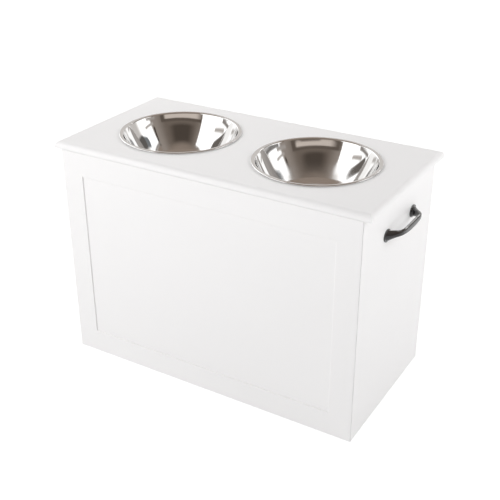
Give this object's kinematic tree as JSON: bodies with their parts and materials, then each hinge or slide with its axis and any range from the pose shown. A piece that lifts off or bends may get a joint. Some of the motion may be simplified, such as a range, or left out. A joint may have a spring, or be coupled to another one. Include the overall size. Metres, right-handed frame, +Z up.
{
  "type": "elevated dog feeder with storage",
  "caption": "Raised pet feeder: a white framed storage box whose hinged lid carries lift-out steel bowls, with a pull handle on each side.",
  "frame": {"origin": "centre of the footprint of the lid, on the floor", "axes": "+X to the right along the long side, +Y to the back where the hinges are, +Z up"},
  "size_m": [0.6204, 0.3, 0.418],
  "materials": {
    "white_board": "satin white paint on fibreboard",
    "pine_batten": "planed softwood",
    "polished_steel": "mirror-polished stainless steel",
    "zinc_plated_screw": "zinc plated",
    "nickel_hinge": "nickel plated, rolled",
    "steel_pin": "bright steel",
    "black_handle": "semi-gloss black"
  },
  "bodies": {
    "base": {"front_left_stile": "white_board", "front_right_stile": "white_board", "front_bottom_rail": "white_board", "front_top_rail": "white_board", "front_center_panel": "white_board", "left_side_panel": "white_board", "right_side_panel": "white_board", "back_panel": "white_board", "floor_panel": "white_board", "front_floor_cleat": "pine_batten", "back_floor_cleat": "pine_batten", "left_floor_cleat": "pine_batten", "right_floor_cleat": "pine_batten", "front_left_corner_batten": "pine_batten", "front_right_corner_batten": "pine_batten", "back_left_corner_batten": "pine_batten", "back_right_corner_batten": "pine_batten", "batten_screws": "zinc_plated_screw", "cleat_screws": "zinc_plated_screw", "floor_panel_screws": "zinc_plated_screw", "hinge_body_screws": "zinc_plated_screw", "handle_screws": "zinc_plated_screw", "handle_washers": "zinc_plated_screw", "left_hinge_body_leaf": "nickel_hinge", "right_hinge_body_leaf": "nickel_hinge", "left_hinge_pin": "steel_pin", "right_hinge_pin": "steel_pin", "left_handle": "black_handle", "right_handle": "black_handle"},
    "lid": {"lid_panel": "white_board", "left_hinge_lid_leaf": "nickel_hinge", "right_hinge_lid_leaf": "nickel_hinge", "hinge_lid_screws": "zinc_plated_screw"},
    "left_bowl": {"left_bowl": "polished_steel"},
    "right_bowl": {"right_bowl": "polished_steel"}
  },
  "joints": [
    {"name": "lid_hinge", "type": "hinge", "parent": "base", "child": "lid", "pos_m": [0, 0.1464, 0.40185], "axis": [-1, 0, 0], "range_deg": [0, 95]},
    {"name": "left_bowl_lift", "type": "slide", "parent": "lid", "child": "left_bowl", "axis": [0, 0, 1], "range_m": [0, 0.08]},
    {"name": "right_bowl_lift", "type": "slide", "parent": "lid", "child": "right_bowl", "axis": [0, 0, 1], "range_m": [0, 0.08]}
  ]
}
